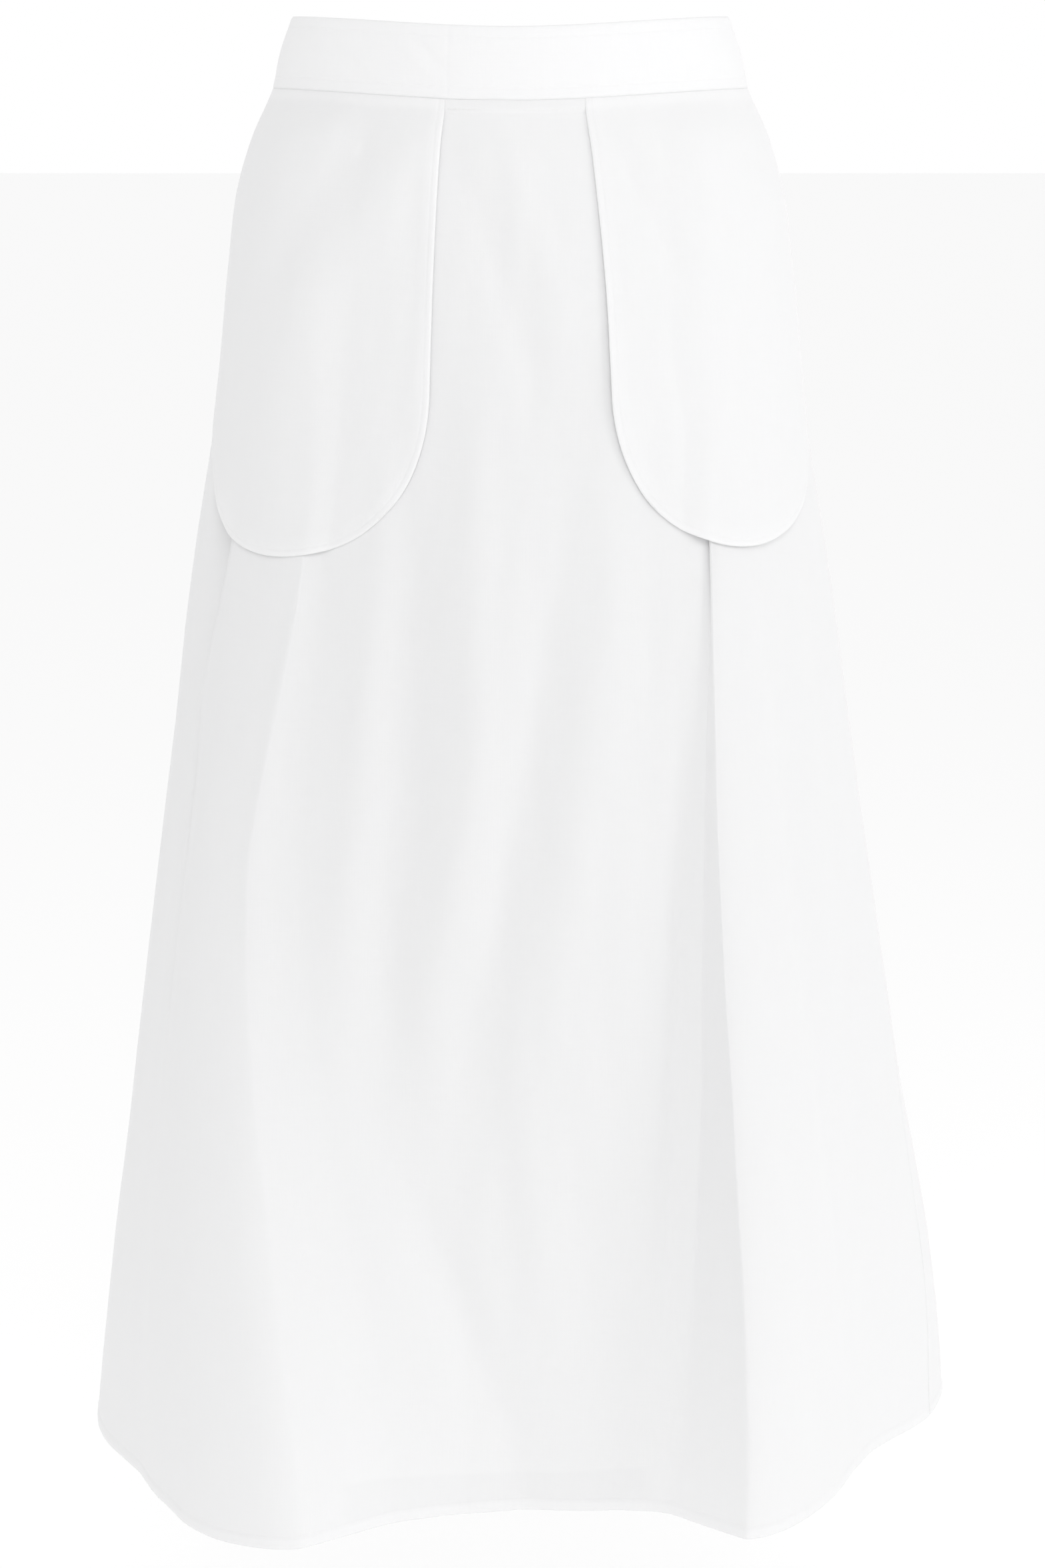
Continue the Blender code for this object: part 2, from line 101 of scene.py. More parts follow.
# Broad folds: upper, deepest and lower height, upper and lower angle, spread, and how far out.
FOLDS = (
    (-0.16, HEM, HEM, 62.0, 76.5, 14.0, -0.0235),
    (-0.52, -0.680, -0.90, -26.0, 2.0, 6.0, -0.0022),
    (-0.20, HEM, HEM, 112.0, 107.0, 11.0, 0.0210),
    (-0.20, HEM, HEM, 130.0, 127.0, 10.0, -0.0110),
    (-0.12, HEM, HEM, 151.0, 148.0, 12.0, 0.0200),
    (-0.26, HEM, HEM, 180.0, 175.0, 12.0, -0.0130),
    (-0.12, HEM, HEM, -153.0, -154.0, 13.0, 0.0170),
    (-0.22, HEM, HEM, -132.0, -129.0, 11.0, -0.0130),
    (-0.20, HEM, HEM, -110.0, -106.0, 10.0, 0.0090),
)

# Soft creases of the front: how far out, spread, and the path as heights and angles from the top.
FRONT_CREASES = (
    (0.0040, 6.5, (
        (-0.110, -6), (-0.246, -8.5), (-0.330, -8),
        (-0.409, -11.3), (-0.489, -17.4), (-0.620, -21),
    )),
    (-0.0036, 5.5, (
        (-0.150, -24), (-0.257, -25), (-0.330, -23.6),
        (-0.400, -24.7), (-0.470, -28.3), (-0.590, -27),
    )),
    (-0.0040, 6.5, (
        (-0.130, 16), (-0.266, 12.5), (-0.350, 5.5),
        (-0.420, -1), (-0.488, -7.7), (-0.640, -11),
    )),
    (0.0034, 6.0, ((-0.120, 29), (-0.256, 26.5), (-0.350, 19.6), (-0.425, 13.5), (-0.488, 8), (-0.680, 3))),
    (-0.0019, 4.5, ((-0.200, 36), (-0.300, 34), (-0.420, 31), (-0.560, 27))),
    (-0.0021, 5.5, ((0.010, -24), (-0.050, -16), (-0.105, -3), (-0.160, 6), (-0.230, 9))),
    (0.0015, 4.5, ((0.000, -8), (-0.060, 2), (-0.120, 14), (-0.190, 20))),
    (-0.0027, 5.0, ((-0.540, -27), (-0.600, -20), (-0.652, -13.5), (-0.720, -3.5), (-0.840, 8))),
    (0.0020, 5.0, ((-0.500, -31), (-0.600, -27), (-0.680, -17), (-0.760, -10), (-0.860, -4))),
    (0.0017, 5.0, ((-0.430, -2), (-0.560, 0), (-0.680, 8), (-0.800, 14))),
    (-0.0015, 4.0, ((-0.560, 14), (-0.660, 16), (-0.800, 20))),
    (0.0034, 4.6, ((-0.160, -28.5), (-0.270, -31), (-0.350, -33), (-0.450, -34.5), (-0.660, -33))),
    (-0.0045, 3.0, ((-0.200, 43), (-0.300, 40), (-0.420, 36.5), (-0.600, 31.5), (-0.860, 22))),
    (-0.0016, 0.9, ((-0.225, -75), (-0.300, -71.5), (-0.420, -64), (-0.600, -59.5))),
    (0.0015, 1.5, ((-0.180, -45.5), (-0.270, -46.5), (-0.345, -48.4), (-0.420, -48.6), (-0.600, -38))),
    (0.0016, 3.0, ((-0.230, -66), (-0.330, -60), (-0.460, -55))),
    (-0.0028, 5.0, ((-0.210, 55), (-0.345, 60), (-0.497, 61), (-0.660, 62))),
    (0.0019, 4.0, ((-0.220, 67), (-0.360, 70), (-0.520, 71), (-0.650, 72))),
    (0.0018, 4.0, ((-0.540, -62), (-0.680, -58), (-0.850, -56))),
    (-0.0018, 4.0, ((-0.500, 48), (-0.640, 46), (-0.850, 46))),
)


def eased(value):
    """0 below 0, 1 above 1, with an easy start and end"""
    value = np.clip(value, 0.0, 1.0)
    return value * value * (3.0 - 2.0 * value)


def along(rows, height):
    """a table's measures at a height, on a smooth curve through its rows"""
    table = np.array(rows, float)
    marks, values = table[:, 0], table[:, 1:]
    slopes = np.gradient(values, marks, axis=0)
    height = np.clip(height, marks[0], marks[-1])
    place = np.clip(np.searchsorted(marks, height, side="right") - 1, 0, len(marks) - 2)
    span = np.asarray(marks[place + 1] - marks[place])[..., None]
    t = np.asarray(height - marks[place])[..., None] / span
    start = (2 * t**3 - 3 * t**2 + 1) * values[place] + (t**3 - 2 * t**2 + t) * span * slopes[place]
    end = (3 * t**2 - 2 * t**3) * values[place + 1] + (t**3 - t**2) * span * slopes[place + 1]
    return np.moveaxis(start + end, -1, 0)


def worn(height, angles, lifts):
    """points round the body at a height, standing out of its ring by the lifts"""
    half_width, front, back, sway = along(RINGS, height)
    turn = np.radians(angles)
    depth = np.where(np.cos(turn) > 0.0, front, back)
    radius = half_width * depth / np.hypot(depth * np.sin(turn), half_width * np.cos(turn)) + lifts
    fade = np.clip((height - HEM) / (SEAM_LINE - HEM), 0.0, 1.0) ** 3
    middle = np.where(np.cos(turn) > 0.0, 0.0, BACK_RISE)
    rise = (middle + (SIDE_RISE - middle) * np.sin(turn) ** 2) * fade
    return np.stack([sway + radius * np.sin(turn), -radius * np.cos(turn), height + rise], axis=-1)


def folded(angles, height):
    """how far the broad folds push the cloth out"""
    total = 0.0
    for upper, deepest, lower, start, end, spread, out in FOLDS:
        middle = start + (upper - height) / (upper - lower) * (end - start)
        strength = eased((upper - height) / (upper - deepest))
        if lower < deepest:
            strength = strength * eased((height - lower) / (deepest - lower))
        total = total + out * strength * np.exp(-(((angles - middle + 180) % 360 - 180) / spread) ** 2)
    return total


def creased(creases, angles, height):
    """how far small creases push the cloth out, fading at both ends of their paths"""
    total = 0.0
    for out, spread, path in creases:
        marks, middles = np.array(path[::-1], float).T
        fade = 0.45 * (marks[-1] - marks[0])
        strength = eased((height - marks[0]) / fade) * eased((marks[-1] - height) / fade)
        away = (angles - np.interp(height, marks, middles) + 180) % 360 - 180
        total = total + out * strength * np.exp(-((away / spread) ** 2))
    return total


def beyond(side, edge, lift, angle):
    """how far the cloth outside a pleat's fold stands out of the ring"""
    crest, swell, reach, roundness = SWELLS[side]
    away = angle - edge
    near = lift * (1.0 + (swell - 1.0) * np.sin(math.pi / 2 * np.clip(away / crest, 0.0, 1.0)))
    reach_here = np.minimum(reach, 80.0 - edge - crest)
    blunt = roundness * reach_here / reach
    fallen = np.hypot(np.maximum(away - crest, 0.0), blunt) - blunt
    share = np.clip(fallen / (np.hypot(reach_here, blunt) - blunt), 0.0, 1.0)
    return np.where(away < crest, near, lift * swell * (1.0 - share) ** 1.5)


def half_front(side, height):
    """stations of angle and lift from the centre front to one side seam, through the pleat"""
    edge, tuck, top, under = along(PLEATS[side], height)
    inner = edge + tuck
    bulge = math.degrees(PLEAT_BULGE / along(RINGS, height)[1]) * eased(tuck / 4.0)

    def flat(shares):
        angles = inner * np.array(shares)
        return list(zip(angles, under * np.exp(-np.maximum(min(edge, inner) - angles, 0.0) / 8.0)))

    shut = flat((0.0, 0.25, 0.5, 0.75, 0.9))
    above, below = under + PLEAT_LAYER, top - PLEAT_LAYER
    shut += [(inner, under), (inner + bulge, under), (inner + bulge, above), (inner, above)]
    shut += [(edge, below), (edge - bulge, below), (edge - bulge, top), (edge, top)]
    open_wide = flat((0.0, 0.22, 0.44, 0.62, 0.78, 0.92))
    hollow = RISER_HOLLOW[side]
    open_wide += [(inner + f * (edge - inner), under + f**hollow * (top - under)) for f in RISERS[side]]
    opened = eased((2.0 - tuck) / 7.0)
    stations = [tuple(row) for row in np.array(shut) * (1.0 - opened) + np.array(open_wide) * opened]
    for share in (0.06, 0.2, 0.36, 0.52, 0.68, 0.84, 1.0):
        angle = edge + share * (90.0 - edge)
        stations.append((angle, float(beyond(side, edge, top, angle))))
    return stations


def from_seam(height):
    """how far the cloth is free to stand out: nothing at the waist seam, all of it a little below"""
    return eased((SEAM_LINE + 0.0005 - height) / 0.022)


def tucked(angles, height):
    """the small tuck beside the left flap: a pocket with a steep wall that tapers off downwards"""
    wall = np.interp(height, (-0.345, -0.260, -0.180), (-70.0, -66.0, -63.0))
    depth = 0.0115 * eased((height + 0.365) / 0.105) * eased((-0.130 - height) / 0.060)
    return -depth * eased((wall - angles) / 1.6) * eased((angles - wall + 14.0) / 11.0)


def rippled(angles, height):
    """the slight unevenness of cotton that has been worn and hung, from a few crossed waves"""
    a, h = np.radians(angles), (SEAM_LINE - height) * 10.0
    waves = np.sin(17 * a + 1.9 * h + 0.4) * np.sin(1.3 * h + 2.1 * np.sin(3 * a))
    waves = waves + 0.7 * np.sin(29 * a - 2.7 * h + 2.0) * np.sin(2.4 * h + 1.0 + np.sin(5 * a))
    waves = waves + 0.4 * np.sin(47 * a + 4.1 * h) * np.sin(3.9 * h + 0.7 + np.sin(4 * a + 1.0))
    return 0.00032 * eased((SEAM_LINE - height) / 0.05) * waves


def front_row(height, steps):
    """a row of points across the whole front, on a smooth curve that follows the stations"""
    right = half_front(1, height)
    left = [(-angle, lift) for angle, lift in reversed(half_front(-1, height)[1:])]
    stations = np.array(left + right)
    points = np.concatenate([stations[:1], stations[:1], stations, stations[-1:], stations[-1:]])
    place = np.linspace(0.0, len(stations) + 0.999999, steps)
    span = place.astype(int)
    t = (place - span)[:, None]
    weights = ((1 - t) ** 3, 3 * t**3 - 6 * t**2 + 4, -3 * t**3 + 3 * t**2 + 3 * t + 1, t**3)
    angles, lifts = (sum(w * points[span + k] for k, w in enumerate(weights)) / 6.0).T
    lifts = lifts * from_seam(height) + folded(angles, height)
    lifts = lifts + creased(FRONT_CREASES, angles, height) + tucked(angles, height)
    # The front dips into its side seams, and the seam's layers lift it just under the band.
    side_seam = SEAM_DIP * np.exp(-((90.0 - np.abs(angles)) / 0.35) ** 2)
    waist_ridge = 0.0012 * eased((height + 0.0262) / 0.0025) + 0.0003 * eased((height + 0.034) / 0.004)
    return worn(height, angles, lifts + waist_ridge - side_seam + rippled(angles, height))


def panel_heights(rows):
    """heights of a panel's rows, from under the band to the hem, closer together at both ends"""
    start = np.array([0.0, 1.5, 3.0, 4.5, 6.0, 7.5, 9.0, 10.5, 12.0, 14.0, 17.0, 21.0]) / 1000.0
    end = np.array([12.0, 9.0, 7.6, 6.8, 6.2, 5.6, 4.8, 3.6, 2.4, 1.2, 0.4, 0.0]) / 1000.0
    between = np.linspace(SKIRT_TOP - 0.026, HEM + 0.016, rows)
    return np.concatenate([SKIRT_TOP - start, between, HEM + end])


def cloth_sheet(name, rows, thickness, share, edge):
    """a sheet of cloth from its rows of points, top row first. Its share of the thickness and its
    distance from the sewn edge are given for each point, and the weave follows its own measures"""
    down, across = rows.shape[:2]
    mesh = bpy.data.meshes.new(name)
    grid = bmesh.new()
    bmesh.ops.create_grid(grid, x_segments=across - 1, y_segments=down - 1, size=0.5)
    order = [
        (round((0.5 - vertex.co.y) * (down - 1)), round((vertex.co.x + 0.5) * (across - 1)))
        for vertex in grid.verts
    ]
    for vertex, place in zip(grid.verts, order):
        vertex.co = rows[place]
    grid.to_mesh(mesh)
    grid.free()
    mesh.shade_smooth()
    width = np.zeros((down, across))
    width[:, 1:] = np.cumsum(np.linalg.norm(np.diff(rows, axis=1), axis=2), axis=1)
    width -= width[:, across // 2:across // 2 + 1]
    length = np.zeros((down, across))
    length[1:] = np.cumsum(np.linalg.norm(np.diff(rows, axis=0), axis=2).mean(axis=1))[:, None]
    measures = np.stack([width, length, np.broadcast_to(edge, (down, across))], axis=-1)
    picked = tuple(np.array(order).T)
    attribute = mesh.attributes.new("cloth", "FLOAT_VECTOR", "POINT")
    attribute.data.foreach_set("vector", measures[picked].astype(np.float32).ravel())
    piece = bpy.data.objects.new(name, mesh)
    bpy.context.collection.objects.link(piece)
    group = piece.vertex_groups.new(name="Thickness")
    for number, weight in enumerate(np.broadcast_to(share, (down, across))[picked]):
        group.add([number], float(weight), "REPLACE")
    wall = piece.modifiers.new("Wall", "SOLIDIFY")
    wall.thickness = thickness
    wall.offset = 0.0
    wall.vertex_group = "Thickness"
    return piece


class Measure:
    """a socket of a material's nodes, so that shader maths is written as an expression"""

    def __init__(self, finish, socket):
        self.finish, self.socket = finish, socket

    def math(self, operation, other=0.0, swapped=False):
        pair = (other, self) if swapped else (self, other)
        return self.finish.node("Math", {"operation": operation}, {0: pair[0], 1: pair[1]})

    def __add__(self, other):
        return self.math("ADD", other)

    def __sub__(self, other):
        return self.math("SUBTRACT", other)

    def __rsub__(self, other):
        return self.math("SUBTRACT", other, swapped=True)

    def __mul__(self, other):
        return self.math("MULTIPLY", other)

    def __truediv__(self, other):
        return self.math("DIVIDE", other)

    __rmul__ = __mul__

    def bell(self, middle, spread):
        """1 at the middle, falling to nothing on both sides"""
        away = (self - middle) / spread
        return (away * away * -1.0).math("EXPONENT")

    def between(self, low, high):
        """0 at low, 1 at high, eased"""
        return self.finish.node(
            "MapRange", {"interpolation_type": "SMOOTHSTEP"},
            {"Value": self, "From Min": low, "From Max": high},
        )


class Finish:
    """a material built on one Principled shader"""

    def __init__(self, name, **constants):
        self.material = bpy.data.materials.new(name)
        self.material.use_nodes = True
        self.tree = self.material.node_tree
        self.shader = self.tree.nodes["Principled BSDF"]
        for socket, value in constants.items():
            self.shader.inputs[socket.replace("_", " ")].default_value = value

    def node(self, kind, settings=None, inputs=None, output=0):
        """a node of a type, with its settings and the values or links of its sockets"""
        made = self.tree.nodes.new("ShaderNode" + kind)
        for setting, value in (settings or {}).items():
            setattr(made, setting, value)
        for socket, value in (inputs or {}).items():
            if isinstance(value, Measure):
                self.tree.links.new(value.socket, made.inputs[socket])
            else:
                made.inputs[socket].default_value = value
        return Measure(self, made.outputs[output])

    def feed(self, socket, value):
        self.tree.links.new(value.socket, self.shader.inputs[socket])

    def put_on(self, piece):
        piece.data.materials.clear()
        piece.data.materials.append(self.material)


# The plain white, and a darker white that both the random slub tone and the painted see-through shade mix
# towards.
COTTON_WHITE, COTTON_SLUB_AND_SHADE = (0.880, 0.880, 0.884, 1.0), (0.830, 0.830, 0.836, 1.0)
# To a metre of cloth: radians of the weave's waves, then how fine a slub is across and along.
WEAVE, SLUB_ACROSS, SLUB_ALONG = 9200.0, 1500.0, 55.0


def cotton(name, grooves=(), puckers=None, see_through_shade=None):
    """white plain-weave cotton. Grooves are stitch lines as distances from the sewn edge, puckers
    the line that the cloth gathers at, and the last argument a mask of painted shade that darkens the cloth"""
    finish = Finish(
        name, Roughness=0.82, Sheen_Weight=0.12, Sheen_Roughness=0.45, Specular_IOR_Level=0.25,
        Subsurface_Weight=0.30, Subsurface_Radius=(1.0, 1.0, 1.0), Subsurface_Scale=0.0025,
    )
    place = finish.node("Attribute", {"attribute_name": "cloth"}, output=1)
    across, down, edge = (finish.node("SeparateXYZ", None, {0: place}, output=axis) for axis in range(3))
    warp = finish.node("Math", {"operation": "SINE"}, {0: across * WEAVE})
    weft = finish.node("Math", {"operation": "SINE"}, {0: down * WEAVE})
    stretched = finish.node("CombineXYZ", None, {0: across * SLUB_ACROSS, 1: down * SLUB_ALONG})
    crossed = finish.node("CombineXYZ", None, {0: across * SLUB_ALONG, 1: down * SLUB_ACROSS})
    slub = finish.node("TexNoise", None, {"Vector": stretched, "Scale": 1.0, "Detail": 2.0})
    slub_weft = finish.node("TexNoise", None, {"Vector": crossed, "Scale": 1.0, "Detail": 2.0})
    crush = finish.node("TexNoise", None, {"Vector": place, "Scale": 45.0, "Detail": 3.0, "Roughness": 0.55})
    height = warp * weft * 0.020 + slub * 0.10 + slub_weft * 0.08 + crush * 0.9
    for groove in grooves:
        height = height - edge.bell(groove, 0.0006) * 0.40
    if puckers is not None:
        gathered = finish.node("CombineXYZ", None, {0: across * 210.0, 1: down * 60.0})
        ruffle = finish.node("TexNoise", None, {"Vector": gathered, "Scale": 1.0, "Detail": 1.5})
        height = height + ruffle * edge.bell(puckers, 0.0055) * 1.2
    bump = finish.node("Bump", None, {"Strength": 1.0, "Distance": 0.00022, "Height": height})
    finish.feed("Normal", bump)
    shade = 0.55 * slub + 0.45 * slub_weft
    colour = finish.node(
        "Mix", {"data_type": "RGBA"},
        {0: shade.between(0.25, 0.75) * 0.16, 6: COTTON_WHITE, 7: COTTON_SLUB_AND_SHADE}, output=2,
    )
    # Painted shade: where the mask is set, the cloth is mixed towards the darker white.
    if see_through_shade is not None:
        painted_shade_mask = see_through_shade(across, down, edge)
        colour = finish.node("Mix", {"data_type": "RGBA"}, {0: painted_shade_mask, 6: colour, 7: COTTON_SLUB_AND_SHADE}, output=2)
    finish.feed("Base Color", colour)
    return finish


def painted_see_through_shade(across, down, edge):
    """painted see-through shade: a faint darker band on the centre front, from just above the hem's turn up
    to about 3 cm (a little less at the middle), standing in for the dimmer light that comes through the thin
    cloth below the end of the layer behind it
    """
    top = 0.031 - 0.010 * across.bell(0.0, 0.12)
    inside = across.between(-0.110, -0.094) * (1.0 - across.between(0.062, 0.074))
    return (1.0 - (edge - top).between(-0.0015, 0.0015)) * edge.between(0.0055, 0.0065) * inside * 0.40


FRONT_STEPS = 329
heights = panel_heights(92)
front_rows = np.array([front_row(height, FRONT_STEPS) for height in heights])
above_hem = (heights - HEM)[:, None]
turned = 0.40 + 0.60 * (1.0 - eased((above_hem - HEM_DEPTH + 0.0004) / 0.0008))
turned = turned * (0.55 + 0.45 * eased(above_hem / 0.0012))
front = cloth_sheet("front", front_rows, PLY, turned, above_hem)
# The front's cloth carries the painted see-through shade low on its centre.
cotton("front cotton", (HEM_STITCH,), HEM_STITCH, painted_see_through_shade).put_on(front)
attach(front, "skirt")
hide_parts("skirt_front")


# Skirt back: two panels of the same cotton, a quarter turn each, joined at the centre back under
# the zip and to the front at the side seams. They fall in soft folds, with the same narrow hem.
BACK_CREASES = (
    (0.0029, 4.0, ((-0.060, 140), (-0.180, 136), (-0.300, 134))),
    (-0.0033, 4.0, ((-0.120, 164), (-0.260, 168), (-0.400, 166))),
    (0.0026, 3.5, ((-0.150, 118), (-0.300, 121), (-0.470, 119))),
    (-0.0026, 3.0, ((-0.380, 139), (-0.540, 137), (-0.700, 139))),
    (0.0024, 3.5, ((-0.420, 162), (-0.560, 165), (-0.720, 162))),
    (-0.0022, 2.5, ((-0.200, 97), (-0.330, 99), (-0.480, 98))),
    (0.0031, 4.0, ((-0.080, -136), (-0.200, -141), (-0.340, -140))),
    (-0.0031, 4.5, ((-0.150, -166), (-0.290, -163), (-0.430, -167))),
    (0.0026, 3.5, ((-0.130, -117), (-0.280, -121), (-0.440, -118))),
    (-0.0029, 3.0, ((-0.400, -142), (-0.560, -140), (-0.740, -142))),
    (0.0022, 3.0, ((-0.450, -170), (-0.600, -168), (-0.760, -169))),
    (-0.0024, 3.0, ((-0.180, -98), (-0.320, -96), (-0.460, -98))),
)


def back_row(height, start):
    """a row of points across a back panel, closer together beside its seams"""
    beside = np.array([0.0, 0.25, 0.55, 0.95, 1.5, 2.2])
    angles = start + np.concatenate([beside, np.linspace(3.0, 87.0, 108), 90.0 - beside[::-1]])
    seams = np.minimum(angles - start, start + 90.0 - angles)
    lifts = folded(angles, height) + creased(BACK_CREASES, (angles + 180) % 360 - 180, height)
    lifts = lifts + rippled(angles, height) - SEAM_DIP * np.exp(-((seams / 0.35) ** 2))
    return worn(height, angles, lifts)


back_rows = {}
for side, start in (("right", 90.0), ("left", 180.0)):
    back_rows[side] = np.array([back_row(height, start) for height in heights])
    back = cloth_sheet("back_" + side, back_rows[side], PLY, turned, above_hem)
    cotton("back cotton " + side, (HEM_STITCH,), HEM_STITCH).put_on(back)
    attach(back, "skirt")
    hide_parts("skirt_back_" + side)


# Hip flaps: each is two layers of the cotton, sewn face to face, turned out and edge-stitched
# 3.5 mm in. They are caught in the waist seam alone and hang free over the pleats.
FLAP_THICK = 0.0013
FLAP_STITCH = 0.0035
FLAP_CUTS = {"left": ((0.168, 0.252), 0.0375), "right": ((0.157, 0.247), 0.0346)}
# Side, inner and outer angle at the top, middle and half width below, straight drop, whole length,
# how far the free edge stands off.
FLAPS = {
    "left": (-1, 20.8, 88.6, 52.8, 32.0, 0.156, 0.2420, 0.0006),
    "right": (1, 23.8, 88.6, 55.4, 29.8, 0.154, 0.2375, 0.0026),
}
FLAP_CREASES = {
    "left": (
        (0.0034, 9.0, (
            (0.040, -16), (-0.020, -25), (-0.070, -37),
            (-0.130, -50), (-0.200, -59), (-0.300, -66),
        )),
        (-0.0020, 6.0, ((0.020, -34), (-0.030, -42), (-0.090, -55), (-0.160, -68))),
        (0.0010, 4.0, ((-0.025, -58.5), (-0.100, -54), (-0.190, -49.5))),
        (-0.0008, 4.0, ((-0.100, -66), (-0.170, -63), (-0.250, -60))),
    ),
    "right": (
        (-0.0010, 3.2, ((-0.015, 25), (-0.050, 33), (-0.095, 42), (-0.140, 48))),
        (0.0010, 4.0, ((-0.015, 34), (-0.060, 43), (-0.120, 52))),
        (0.0008, 4.5, ((-0.100, 64), (-0.170, 62), (-0.250, 60))),
        (-0.0008, 4.0, ((-0.130, 46), (-0.190, 45), (-0.250, 46))),
    ),
}


def flap_points(name, spread, down):
    """points of a flap's middle. Spread runs from -1 to 1 across it, and down from 0 at the waist
    through 1, where it starts to round off, to 2 at its lowest"""
    side, top_inner, top_outer, low_middle, low_half, straight, length, stand = FLAPS[name]
    low = np.clip(down - 1.0, 0.0, 1.0)
    drop = straight * np.minimum(down, 1.0) + (length - straight) * low * np.sqrt(1.0 - spread**2 / 2)
    spread = spread * np.sqrt(1.0 - low**2 / 2)
    settle = eased(drop / (0.5 * length))
    middle = (top_outer + top_inner) / 2
    half = (top_outer - top_inner) / 2
    angle = middle + settle * (low_middle - middle) + side * spread * (half + settle * (low_half - half))
    height = SEAM_LINE + 0.0035 - drop
    edge, tuck, lift, rise = along(PLEATS[side], height)
    bridge = lift * np.exp(-(((edge - angle) / (7.5 - 2.4 * eased((down - 0.7) / 0.6))) ** 2))
    recessed = rise * np.exp(-np.maximum(np.minimum(edge, edge + tuck) - angle, 0.0) / 8.0)
    ramp = np.maximum(bridge, recessed)
    under = np.where(angle >= edge, beyond(side, edge, lift, angle), ramp) * from_seam(height)
    under = under + 0.8 * creased(FRONT_CREASES, side * angle, height)
    free = eased(drop / length) * (1.0 - 0.95 * eased((1.0 + side * spread) / 1.3)) * (1.0 - 0.6 * low)
    lay = 0.0014 - 0.0005 * eased((down - 0.6) / 1.2)
    small = creased(FLAP_CREASES[name], side * angle, height) + rippled(side * angle, height)
    return worn(height, side * angle, lay + under + stand * free + small * eased(drop / 0.045))


def crowded(count):
    """steps from 0 to 1 that are closer together near 1"""
    t = np.linspace(0.0, 1.0, count)
    return 0.33 * t + 0.67 * np.sin(math.pi / 2 * t)


def from_rim(rows):
    """distance of each point of a flap from its sewn edge, along the cloth"""
    rim = np.concatenate([rows[:, 0], rows[-1, 1:-1], rows[::-1, -1]])
    marks = np.arange(len(rim))
    finer = np.arange(0, len(rim) - 1, 0.2)
    rim = np.stack([np.interp(finer, marks, rim[:, axis]) for axis in range(3)], axis=1)
    return np.array([np.sqrt(((row[:, None] - rim[None]) ** 2).sum(axis=2).min(axis=1)) for row in rows])


for name in FLAPS:
    half = crowded(49)
    spread = np.concatenate([-half[:0:-1], half])
    down = np.concatenate([np.linspace(0.0, 1.0, 62)[:-1], 1.0 + crowded(42)])
    rows = flap_points(name, spread[None, :], down[:, None])
    edge = from_rim(rows)
    plump = 0.35 + 0.65 * eased(edge / 0.0011) - 0.10 * np.exp(-(((edge - FLAP_STITCH) / 0.0008) ** 2))
    plump = plump - 0.18 * eased((edge - 0.0070) / 0.0025)
    plump = plump * (0.45 + 0.55 * eased(down[:, None] / 0.05))
    flap = cloth_sheet("flap_" + name + "_cloth", rows, FLAP_THICK, plump, edge)
    cotton("flap cotton " + name, (FLAP_STITCH,), FLAP_STITCH).put_on(flap)
    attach(flap, "skirt")
    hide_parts("flap_" + name)
    flat, area = FLAP_CUTS[name]


# Waistband: a contoured strip of doubled cotton with a stiffening inside, folded at its top edge
# and sewn to the skirt and flaps along its foot. It is stitched 6 mm in from both edges.
BAND_TOP, BAND_FOOT = 0.019, -0.0192
BAND_THICK = 0.0019
BAND_STITCH = 0.0060
# How far the band's middle stands out of the body's ring.
BAND_STAND = 0.0013
BANDS = {
    "front": (-90.0, 90.0, 361, (0.349, 0.040), 0.0132),
    "back_right": (90.0, 180.0, 101, (0.172, 0.040), 0.0065),
    "back_left": (180.0, 270.0, 101, (0.172, 0.040), 0.0065),
}
BAND_CREASES = (
    (-0.00016, 0.6, ((0.060, -21.6), (0.000, -20.7), (-0.060, -19.6))),
    (0.0005, 3.0, ((0.019, -43), (0.004, -33), (-0.012, -24))),
    (-0.0005, 3.0, ((0.019, -36), (0.004, -27), (-0.012, -18))),
    (0.0005, 3.0, ((0.018, -72), (0.004, -62), (-0.014, -49))),
    (-0.0005, 3.5, ((0.018, -64), (0.002, -54), (-0.016, -43))),
    (0.0003, 3.0, ((0.016, 40), (0.000, 46), (-0.016, 50))),
    (-0.0003, 4.0, ((0.018, 66), (0.002, 62), (-0.016, 60))),
    (0.0004, 3.0, ((0.018, 118), (0.002, 124), (-0.016, 133))),
    (-0.0004, 3.0, ((0.018, 150), (0.002, 145), (-0.016, 138))),
    (0.0004, 3.0, ((0.018, -122), (0.002, -127), (-0.016, -135))),
    (-0.0004, 3.0, ((0.018, -152), (0.002, -148), (-0.016, -141))),
)


def band_row(height, start, end, steps):
    """a row of points along a stretch of the band"""
    angles = np.linspace(start, end, steps)
    wrapped = (angles + 180.0) % 360.0 - 180.0
    small = creased(BAND_CREASES, wrapped, height)
    seams = np.minimum(angles - start, end - angles)
    return worn(height, angles, BAND_STAND + small - SEAM_DIP * np.exp(-((seams / 0.5) ** 2)))


band_heights = np.linspace(BAND_TOP, BAND_FOOT, 49)
from_edge = np.minimum(BAND_TOP - band_heights, band_heights - BAND_FOOT)[:, None]
padding = 0.40 + 0.60 * eased(from_edge / 0.0016)
padding = padding - 0.08 * np.exp(-(((from_edge - BAND_STITCH) / 0.0008) ** 2))
for name, (start, end, steps, flat, area) in BANDS.items():
    rows = np.array([band_row(height, start, end, steps) for height in band_heights])
    band = cloth_sheet("band_" + name, rows, BAND_THICK, padding, from_edge)
    cotton("band cotton " + name, (BAND_STITCH,), BAND_STITCH).put_on(band)
    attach(band, "skirt")
    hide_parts("waistband_" + name)


